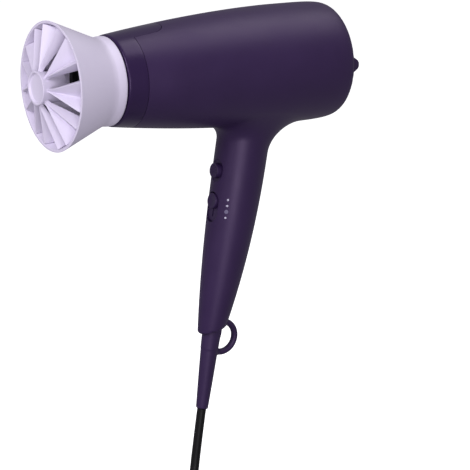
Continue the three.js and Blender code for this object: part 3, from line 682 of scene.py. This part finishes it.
def diffuserFace():
    f = troughFacts
    rings = []
    for r in np.linspace(9.7, 43.4, 30):
        half = max(f["spread"] * (r - f["apex"]), 1.2)
        lip = min(f["edge"], 0.42 * half)
        reach = (r - f["hub"]) / (funnelInside(0) - f["hub"])
        front = f["rootX"] + (0.4 - f["rootX"]) * reach
        depth = f["rootDepth"] + (f["rimDepth"] - f["rootDepth"]) * max(reach, 0)
        fold, sheet, skirt = f["fold"] * half, f["sheet"], min(f["skirt"], 0.45 * half)
        reach = max(reach, 0)
        deep = f["rootSkirt"] + (f["rimSkirt"] - f["rootSkirt"]) * reach
        foot = half + 0.3 + f["lean"] * reach
        face = [(-half + 0.25, 0.08), (-half + 0.5 * lip, 0), (-half + lip, 0.3)]
        face += [(fold + (lip - half - fold) * u, depth * (1 - u) + 0.3 * u) for u in (0.66, 0.33)]
        face += [(fold - 0.4 * lip, depth * 0.97), (fold, depth * 0.985), (fold + 0.4 * lip, depth * 0.97)]
        face += [(fold + (half - lip - fold) * u, depth * (1 - u) + 0.3 * u) for u in (0.33, 0.66)]
        face += [(half - lip, 0.3), (half - 0.5 * lip, 0), (half - 0.25, 0.08)]
        right = [(half, 0.45), (foot, deep - 0.3), (foot - 0.3 * skirt, deep), (foot - 0.7 * skirt, deep),
                 (foot - skirt, deep - 0.3), (half - skirt, sheet + 0.3)]
        left = [(-a, b) for a, b in right[::-1]]
        outline = face + right + [(fold, depth + sheet)] + left
        # the outer end lies against the funnel's inside
        stretch = [min(1, (funnelInside(max(front + b, 0)) - f["gap"]) / math.hypot(r, a))
                   for a, b in outline]
        rings.append([(front + b, a * k, r * k) for (a, b), k in zip(outline, stretch)])
    petal = makeObject("troughs", *loft(rings), "diffuserPolypropylene", sharp=40)
    arrayed(petal, f["count"], math.radians(f["first"]), "diffuserPolypropylene")
    floor = f["hubFront"] + f["dish"]
    outline = rounded([(floor, 0), (floor, f["hub"] - 2.1, 0.5), (f["hubFront"], f["hub"] - 1.5, 0.4),
                       (f["hubFront"], f["hub"], 0.5), (f["hubBack"], f["hub"] - 1.6, 0.4),
                       (f["hubBack"], f["hub"] - 3.2, 0.3), (floor + 1.7, f["hub"] - 1.8, 0.6),
                       (floor + 1.7, 0)], 0)
    hub = makeObject("hub", *turned(outline, 96), "diffuserPolypropylene", sharp=40)
    joined("diffuserFace", [petal, hub], "diffuser", ["diffuser_face"])
    print("diffuser made")


funnel()
diffuserFace()


# rear inlet
grilleFacts = {"rim": 37.2, "inner": 33.8, "front": 217, "barFront": 220.5, "barBack": 223, "spokes": 10}


def barMesh(name, size, centre, radius, finish):      # a bar with eased edges
    bar = box(name, size, centre)
    bar.data.materials.clear()
    bar.data.materials.append(finishes[finish])
    edge = bar.modifiers.new("eased", "BEVEL")
    edge.width = radius * mm
    edge.segments = 3
    return settle(bar, 60)


def rearGrille():
    f = grilleFacts
    hoop = makeObject("hoop", *turned(rounded([(f["front"], f["inner"]), (f["front"], f["rim"]),
                                               (f["front"] + 8, f["rim"]), (f["front"] + 8, f["inner"])],
                                              0.5), 112), "housingAbs")
    parts = [hoop]
    for r in (13, 23):
        outline = rounded([(f["barFront"], r), (f["barFront"], r + 2), (f["barBack"], r + 2),
                           (f["barBack"], r)], 0.5)
        parts.append(makeObject("ring", *turned(outline, 96), "housingAbs"))
    cap = rounded([(f["barFront"], 0), (f["barFront"], 5, 0.4), (f["barBack"] + 0.6, 5, 1.2),
                   (f["barBack"] + 0.6, 0)], 0, 6)
    parts.append(makeObject("cap", *turned(cap, 64), "housingAbs"))
    middle = (f["barFront"] + f["barBack"]) / 2
    spoke = barMesh("spoke", (2.2, 1.8, 30), (middle, 0, 19), 0.5, "housingAbs")
    parts.append(arrayed(spoke, f["spokes"], 0.0, "housingAbs"))
    # catch, bell-shaped seen from the side
    tab = [(f["front"] + 3, 5.5), (228, 5.5), (229.5, 7.2), (231.2, 6.9), (232.8, 5.4), (234.6, 4.3),
           (236.3, 3.0), (237.2, 1.3)]
    tab += [(x, -z) for x, z in tab[::-1]]
    for side in (-1, 1):
        layers = []
        for out, ease in ((-1.5, 0.5), (-1.1, 0), (1.1, 0), (1.5, 0.5)):
            layers.append([(x - ease * (x > 229), side * (35.4 + out), z * (1 - 0.08 * ease))
                           for x, z in tab])
        parts.append(makeObject("catch", *loft(layers[::side]), "housingAbs", sharp=50))
    joined("rearGrille", parts, "housing", ["rear_grille"])
    print("rear grille made")


rearGrille()


# woven wire over the inlet: a grid of wires, each a thin bar, cut to the round by the tree
meshFacts = {"pitch": 2.0, "wire": 0.42, "radius": 33.0, "x": 217.8}


def inletMesh():
    tree, ids = newTree("inletWires", {"Pitch": "Float", "Radius": "Float", "Wire": "Float",
                                       "Place": "Vector"})
    start = addNode(tree, "NodeGroupInput").outputs
    count = int(2 * meshFacts["radius"] / meshFacts["pitch"]) - 1
    index = addNode(tree, "GeometryNodeInputIndex")
    offset = addNode(tree, "ShaderNodeMath", {0: index.outputs[0], 1: (count - 1) / 2}, operation="SUBTRACT")
    across = addNode(tree, "ShaderNodeMath", {0: offset.outputs[0], 1: start["Pitch"]}, operation="MULTIPLY")
    share = addNode(tree, "ShaderNodeMath", {0: across.outputs[0], 1: start["Radius"]}, operation="DIVIDE")
    square = addNode(tree, "ShaderNodeMath", {0: share.outputs[0], 1: share.outputs[0]},
                     operation="MULTIPLY")
    left = addNode(tree, "ShaderNodeMath", {0: 1.0, 1: square.outputs[0]}, operation="SUBTRACT")
    chord = addNode(tree, "ShaderNodeMath", {0: left.outputs[0]}, operation="SQRT")
    reach = addNode(tree, "ShaderNodeMath", {0: chord.outputs[0], 1: start["Radius"]}, operation="MULTIPLY")
    full = addNode(tree, "ShaderNodeMath", {0: reach.outputs[0], 1: 2.0}, operation="MULTIPLY")
    rod = addNode(tree, "GeometryNodeMeshCylinder", {"Vertices": 6, "Radius": start["Wire"], "Depth": 1.0})
    layers = addNode(tree, "GeometryNodeJoinGeometry")
    for turn, lift in ((0.0, -0.0002), (math.pi / 2, 0.0002)):
        where = addNode(tree, "ShaderNodeCombineXYZ", {"X": lift, "Y": across.outputs[0]})
        points = addNode(tree, "GeometryNodePoints", {"Count": count, "Position": where.outputs[0]})
        size = addNode(tree, "ShaderNodeCombineXYZ", {"X": 1.0, "Y": 1.0, "Z": full.outputs[0]})
        rods = addNode(tree, "GeometryNodeInstanceOnPoints", {"Points": points.outputs[0],
                                                              "Instance": rod.outputs["Mesh"],
                                                              "Scale": size.outputs[0]})
        turned90 = addNode(tree, "GeometryNodeTransform", {"Geometry": rods.outputs[0],
                                                           "Rotation": (turn, 0.0, 0.0)})
        tree.links.new(turned90.outputs[0], layers.inputs[0])
    moved = addNode(tree, "GeometryNodeTransform", {"Geometry": layers.outputs[0],
                                                    "Translation": start["Place"]})
    finishTree(tree, moved, "zincSteel")
    screen = makeObject("inletMesh", [(0, 0, 0), (1, 0, 0), (0, 1, 0)], [(0, 1, 2)], "zincSteel")
    weave = screen.modifiers.new("weave", "NODES")
    weave.node_group = tree
    weave[ids["Pitch"]] = meshFacts["pitch"] * mm
    weave[ids["Radius"]] = meshFacts["radius"] * mm
    weave[ids["Wire"]] = meshFacts["wire"] / 2 * mm
    weave[ids["Place"]] = tuple(toPart([(meshFacts["x"], 0, 0)])[0])
    joined("inletMesh", [settle(screen)], "housing", ["inlet_filter"])
    print("inlet mesh made")


inletMesh()


# controls on the handle
def coolButton():
    f = buttonFacts
    skin = handleFront(f["along"])
    outline = rounded([(skin - f["proud"] + 0.25, 0), (skin - f["proud"] + 0.25, f["radius"] - 1.1, 0.2),
                       (skin - f["proud"], f["radius"] - 0.8, 0.2), (skin - f["proud"], f["radius"], 0.6),
                       (skin + 4.6, f["radius"], 0), (skin + 4.6, f["radius"] + 1.1, 0.2),
                       (skin + 5.6, f["radius"] + 1.1, 0.2), (skin + 5.6, 1.8, 0.2), (skin + 6.6, 1.6, 0.2),
                       (skin + 6.6, 0)], 0)
    cap = makeObject("cap", *stemTurned(outline, f["along"]), "housingAbs", sharp=50)
    # small raised dots on the face, in staggered rows
    dots = []
    pitch, dotR, face = 1.15, 0.36, skin - f["proud"] + 0.25
    rows = int(2 * f["radius"] / pitch)
    for i in range(-rows, rows + 1):
        for j in range(-rows, rows + 1):
            y, z = pitch * (i + 0.5 * (j % 2)), pitch * 0.866 * j
            if math.hypot(y, z) < f["radius"] - 1.6:
                dots.append((y, z))
    points, faces = [], []
    for y, z in dots:
        base = len(points)
        for r, x in ((dotR, 0.05), (dotR * 0.8, -0.16), (dotR * 0.4, -0.24)):
            for k in range(10):
                a = 2 * math.pi * k / 10
                points.append((face + x, y + r * math.cos(a), z + r * math.sin(a) - f["along"]))
        points.append((face - 0.26, y, z - f["along"]))
        for ring in (0, 10):
            for k in range(10):
                n = (k + 1) % 10
                faces.append((base + ring + k, base + ring + n, base + ring + 10 + n, base + ring + 10 + k))
        faces += [(base + 20 + k, base + 20 + (k + 1) % 10, base + 30) for k in range(10)]
        faces.append([base + k for k in range(10)][::-1])
    grip = makeObject("grip", onStem(points), faces, "housingAbs", sharp=60)
    joined("coolShotButton", [cap, grip], "cool_button", ["cool_shot_button"])


def sliderKnob():
    f = sliderFacts
    top = handleFront(f["along"]) - f["proud"]
    outline = rounded([(top + 0.45, 0), (top + 0.35, 2.2, 0.6), (top, f["radius"] - 1.2, 0.6),
                       (top, f["radius"], 0.7), (f["floor"] - 0.3, f["radius"], 0.15),
                       (f["floor"] - 0.3, 0)], 0)
    cap = makeObject("cap", *stemTurned(outline, f["along"]), "housingAbs", sharp=50)
    foot = box("foot", (2.6, 0.8, 2.0), alongStem(f["floor"] + 1.0, 0, f["along"]), -lean)
    joined("sliderKnob", [cap, foot], "heat_slider", ["slider_knob"])


def sliderTrack():                         # floor of the slider's slot, slit for the foot
    f = sliderFacts
    track = makeObject("track", *slotBlock(0.2, f["floor"], f["floor"] + 1), "housingAbs", sharp=50)
    carve(track, [cutter(*slotBlock(0, f["floor"] - 2, f["floor"] + 3, 2, 0.65))])
    joined("sliderTrack", [track], "housing", ["slider_track"])


def skinPoint(t, degrees):                 # on the handle's skin, degrees from the front towards -Y
    a = math.radians(180 + degrees)
    z = stemZ - t * math.cos(lean)
    x0 = stemX - math.tan(lean) * t * math.cos(lean) + float(handleShift(t))
    near, far = 5.0, 60.0
    for _ in range(40):
        r = (near + far) / 2
        outside = skinField(x0 + r * math.cos(a), r * math.sin(a), z) > 0
        near, far = (near, r) if outside else (r, far)
    return np.array([x0 + r * math.cos(a), r * math.sin(a), z])


dotFacts = {"degrees": 42, "sites": ((51.9, 0.8, "dotInk"), (56.4, 0.8, "dotInk"), (60.9, 1.5, "greyInk"),
                                     (65.4, 0.75, "dotInk")), "thick": 0.12}


def settingDots():                         # printed dots beside the slider, one for each setting
    groups = {}
    for t, radius, ink in dotFacts["sites"]:
        centre = skinPoint(t, dotFacts["degrees"])
        step = 0.2
        n = np.array([(skinField(*(centre + step * e)) - skinField(*(centre - step * e))) for e in np.eye(3)])
        n /= np.linalg.norm(n)
        u = np.cross(n, (0, 0, 1))
        u /= np.linalg.norm(u)
        v = np.cross(n, u)
        points, faces = groups.setdefault(ink, ([], []))
        base = len(points)
        points.append(centre + n * dotFacts["thick"])
        rings = ((0.5, 1.0), (0.9, 0.95), (1.0, 0.5), (1.0, -1.0))
        for share, lift in rings:
            for k in range(28):
                a = 2 * math.pi * k / 28
                p = centre + radius * share * (math.cos(a) * u + math.sin(a) * v)
                for _ in range(3):         # dropped onto the curved skin
                    p = p - n * float(skinField(*p))
                points.append(p + n * dotFacts["thick"] * lift)
        for k in range(28):
            m = (k + 1) % 28
            faces.append((base, base + 1 + k, base + 1 + m))
            for ring in range(3):
                a, b = base + 1 + 28 * ring, base + 29 + 28 * ring
                faces.append((a + k, b + k, b + m, a + m))
        faces.append([base + 85 + k for k in range(28)])
    for ink, (points, faces) in groups.items():
        name = "settingDots" if ink == "dotInk" else "settingDotLarge"
        joined(name, [makeObject(name, points, faces, ink, sharp=60)], "housing", [])


coolButton()
sliderKnob()
sliderTrack()
settingDots()
print("controls made")


def handleScrews():                        # cross-recessed pan heads, sunk in the right half
    f = screwFacts
    for i, (x, t) in enumerate(f["sites"]):
        head = handleFacts["ratio"] * float(handleRadius(t)) - f["sunk"] + 0.3
        outline = rounded([(-7, 0), (-6.4, 1.5, 0.2), (head, 1.5, 0), (head, 2.7, 0.15),
                           (head + 1.1, 2.7, 0.5), (head + 1.9, 1.4, 0.8), (head + 1.9, 0)], 0, 5)
        screw = makeObject("screw", *crossTurned(outline, x, t), "zincSteel")
        recess = []
        for turn in (0, math.pi / 2):
            bar = []
            for sx in (-1, 1):
                for sy in (0, 1):
                    for sz in (-1, 1):
                        w, d = sx * (1.5 if sy else 0.7), sz * 0.32
                        bar.append((x + w * math.cos(turn) - d * math.sin(turn), head + 0.5 + 3 * sy,
                                    w * math.sin(turn) + d * math.cos(turn) - t))
            recess.append(makeObject("recess", onStem(bar), boxFaces, "zincSteel"))
        carve(screw, recess)
        joined(f"handleScrew{i + 1}", [screw], "housing", [f"handle_screw_{i + 1}"])


handleScrews()
print("screws made")


# strain relief and hanging loop, one soft moulding
reliefFacts = {"start": 139, "end": 216, "neck": 7.25, "tip": 4.8, "blend": 2.2, "taperFrom": 152,
               "taperOver": 62, "stations": (139, 147, 149, 153, 157, 163, 170),
               "front": (9.6, 9.4, 9.2, 8.6, 8.2, 7.9, 7.53), "rear": (7.8, 7.6, 6.7, 6.6, 6.8, 6.3, 6.33)}
loopFacts = {"x": 8.3, "along": 160.3, "radius": 11.7, "rod": 2.4}


def reliefField(x, y, z):
    f = reliefFacts
    xl, t = offStem(x, z)
    down = np.clip((t - f["taperFrom"]) / f["taperOver"], 0, None)
    shift = -1.29 + 2.41 * (t - f["taperFrom"]) / f["taperOver"]
    taper = f["neck"] - (f["neck"] - f["tip"]) * down ** 1.25
    shoulder = t < f["stations"][-1]
    front = np.where(shoulder, np.interp(t, f["stations"], f["front"]), taper - shift)
    rear = np.where(shoulder, np.interp(t, f["stations"], f["rear"]), taper + shift)
    half, middle = (front + rear) / 2, (rear - front) / 2
    tube = np.hypot(xl - middle, y / 0.92) - half
    ends = np.maximum(f["start"] - t, t - f["end"])
    tube = np.minimum(np.maximum(tube + 0.7, ends + 0.7), 0) + \
        np.hypot(np.maximum(tube + 0.7, 0), np.maximum(ends + 0.7, 0)) - 0.7
    ring = np.hypot(np.hypot(xl - loopFacts["x"], t - loopFacts["along"]) - loopFacts["radius"], y / 1.15)
    ring = np.maximum(ring - loopFacts["rod"], -(xl + 4))
    blend = f["blend"]
    near = np.clip(0.5 + 0.5 * (ring - tube) / blend, 0, 1)
    return ring * (1 - near) + tube * near - blend * near * (1 - near)


def strainRelief():
    step = 0.75
    points, faces = fieldMesh(reliefField, (100, -10, -262), (160, 10, -170), step, 4)
    relief = makeObject("strainRelief", points, faces, "reliefElastomer", sharp=180)
    joined("strainRelief", [relief], "housing", ["cord_sleeve"])
    print("strain relief made")


strainRelief()


# tie round the coil, plug and pins
plugFacts = {"x": 54.1, "y": -89.9, "z": -332.5, "turn": -140, "length": 42, "pinR": 2.4, "pinSide": 9.5,
             "pin": 19, "half": (18, 12.5), "edge": 1.5}
tieFacts = {"inner": 29.7, "outer": 51.6, "height": 14.2, "low": -343.9, "turn": -33, "slack": 0.35}


def cordTie():
    f = tieFacts
    turn = math.radians(f["turn"])
    rings = []
    count = 48
    cx, cz = (f["inner"] + f["outer"]) / 2, f["height"] / 2
    hx, hz = (f["outer"] - f["inner"]) / 2 + f["slack"], f["height"] / 2 + f["slack"]
    for k in range(count):
        a = 2 * math.pi * k / count
        ca, sa = math.cos(a), math.sin(a)
        u = math.copysign(abs(ca) ** 0.22, ca) * hx
        w = math.copysign(abs(sa) ** 0.22, sa) * hz
        grow = 1 + 0.62 / max(abs(u), abs(w))
        ring = []
        for g, half in ((1.0, 5.7), (1.0, 0), (1.0, -5.7), (grow, -5.9), (grow, 0), (grow, 5.9)):
            r, y, z = cx + u * g, half, cz + w * g
            ring.append((coilFacts["x"] + r * math.cos(turn) - y * math.sin(turn),
                         coilFacts["y"] + r * math.sin(turn) + y * math.cos(turn), f["low"] + z))
        rings.append(ring)
    points = [p for ring in rings for p in ring]
    faces = [(6 * k + i, 6 * k + (i + 1) % 6, 6 * ((k + 1) % count) + (i + 1) % 6, 6 * ((k + 1) % count) + i)
             for k in range(count) for i in range(6)]
    tie = makeObject("cordTie", points, faces, "ductNylon", sharp=40)
    return joined("cordTie", [tie], "housing", ["cord_tie"])


def plugPlace(points, aside=0):            # from the plug's own frame, x towards its pins
    f, a = plugFacts, math.radians(plugFacts["turn"])
    points = [(p[0], p[1] + aside, p[2]) for p in points]
    return [(f["x"] + p[0] * math.cos(a) - p[1] * math.sin(a),
             f["y"] + p[0] * math.sin(a) + p[1] * math.cos(a), f["z"] + p[2]) for p in points]


def mainsPlug():
    f = plugFacts
    end = f["length"] - f["edge"]
    stations = [(0.5, 4.6, 4.6), (2, 5.4, 5.4), (13, 6.4, 6.2), (19, 11, 9.4), (25, 16, 11.8),
                (31, *f["half"]), (end, *f["half"]), (f["length"], 16.5, 11)]
    xs = [s[0] for s in stations]
    rings = []
    fine = sorted(set(np.linspace(0.5, end, 50)) | {40.8, 41.2, 41.6, 41.85, 42.0})
    for x in fine:
        w = float(np.interp(x, xs, [s[1] for s in stations]))
        h = float(np.interp(x, xs, [s[2] for s in stations]))
        if x < 12:                         # flexing rings at the cord's entry
            pinch = 0.5 * (0.5 - 0.5 * math.cos(2 * math.pi * (x - 2) / 3.3)) if x > 2 else 0
            w, h = w - pinch, h - pinch
        if x > end:
            ease = f["edge"] * (1 - math.sqrt(max(1 - ((x - end) / f["edge"]) ** 2, 0)))
            w, h = f["half"][0] - ease, f["half"][1] - ease
        ring = []
        for k in range(72):
            a = 2 * math.pi * k / 72
            c, s = math.cos(a), math.sin(a)
            ring.append((x, w * math.copysign(abs(c) ** 0.7, c), h * math.copysign(abs(s) ** 0.7, s)))
        rings.append(ring)
    points, faces = loft(rings)
    body = makeObject("plug", plugPlace(points), faces, "reliefElastomer", sharp=50)
    holes = []
    for side in (-1, 1):
        points, faces = turned([(31, 0), (31, 2.7), (47, 2.7), (47, 0)], 40)
        holes.append(makeObject("hole", plugPlace(points, side * f["pinSide"]), faces, "reliefElastomer"))
    carve(body, holes)
    body = joined("mainsPlug", [body], "housing", ["plug_body"])
    pins = []
    for i, side in enumerate((-1, 1)):
        tip = f["length"] + f["pin"]
        outline = rounded([(32, 0), (32, f["pinR"], 0.2), (tip, f["pinR"], 1.9), (tip, 0)], 0, 8)
        points, faces = turned(outline, 40)
        pin = makeObject("pin", plugPlace(points, side * f["pinSide"]), faces, "nickelBrass", sharp=50)
        pins.append(joined(f"plugPin{i + 1}", [pin], "housing", [f"plug_pin_{i + 1}"]))
    return [body, *pins]


tie = cordTie()
plugPieces = mainsPlug()
mainsCord.data.materials.append(finishes["cordPvc"])
print("cord, tie and plug made")


# finishes of the parts that keep their own shape
slotFinish = {"housing_plastic": "housingAbs", "ring_plastic": "ringAbs", "black_plastic": "ductNylon",
              "lavender_plastic": "diffuserPolypropylene", "sleeve_rubber": "reliefElastomer",
              "cord_sheath": "cordPvc", "nylon": "whiteNylon", "mica": "micaSheet",
              "heater_wire": "nichromeWire", "steel": "zincSteel", "pin_brass": "nickelBrass",
              "circuit_board": "boardLaminate"}
nodeSlot = {row["node"]: row["material_slot"] for row in frame["record"]["subparts"]}
for nodeName, nodeObject in frame["nodes"].items():
    nodeObject.data.materials.clear()
    nodeObject.data.materials.append(finishes[slotFinish[nodeSlot[nodeName]]])
print("inner parts dressed")

# floor and light
floorMesh = bpy.data.meshes.new("floor")
floorMesh.from_pydata([(-30, -30, 0), (30, -30, 0), (30, 30, 0), (-30, 30, 0)], [], [(0, 1, 2, 3)])
floor = placed("floor", floorMesh)
floor.location.z = cadLow.z - 0.0002       # just under the lowest point, so the two don't touch
floorPaint = bpy.data.materials.new("paleFloor")
floorPaint.use_nodes = True
floorShader = floorPaint.node_tree.nodes["Principled BSDF"]
for inputName, inputValue in (("Base Color", hexColour("f2f2f2")), ("Roughness", 0.9),
                              ("Emission Color", (1, 1, 1, 1)), ("Emission Strength", 0.75)):
    floorShader.inputs[inputName].default_value = inputValue
floorMesh.materials.append(floorPaint)
floor.visible_glossy = False
floor.visible_diffuse = False

lightFacts = {                             # place, size, watts, colour, all soft
    "keyOverhead": {"at": (0.6, -0.1, 1.35), "to": (0, 0, 0.1), "size": (1.1, 0.9), "power": 7.5,
                    "tint": "ffffff"},
    "frontStrip": {"at": (-0.62, -1.3, 0.15), "to": (0, 0, 0), "size": (0.7, 0.9), "power": 10.5,
                   "tint": "fbf8ff"},
    "fillLeft": {"at": (-1.3, -0.35, 0.85), "to": (-0.1, 0, 0.1), "size": (0.8, 0.8), "power": 14.5,
                 "tint": "fbf8ff"},
}
for lightName, facts in lightFacts.items():
    lamp = bpy.data.lights.new(lightName, "AREA")
    lamp.shape = "RECTANGLE"
    lamp.size, lamp.size_y = facts["size"]
    lamp.energy = facts["power"]
    lamp.color = hexColour(facts["tint"])[:3]
    light = placed(lightName, lamp)
    light.location = facts["at"]
    light.rotation_euler = (Vector(facts["to"]) - Vector(facts["at"])).to_track_quat("-Z", "Y").to_euler()

world = bpy.data.worlds.new("studio")
bpy.context.scene.world = world
world.use_nodes = True
sky = world.node_tree.nodes["Background"]
sky.inputs["Color"].default_value = hexColour("f2f0f8")
sky.inputs["Strength"].default_value = 0.36
bpy.context.scene.view_settings.view_transform = "Standard"
print("floor and light set")
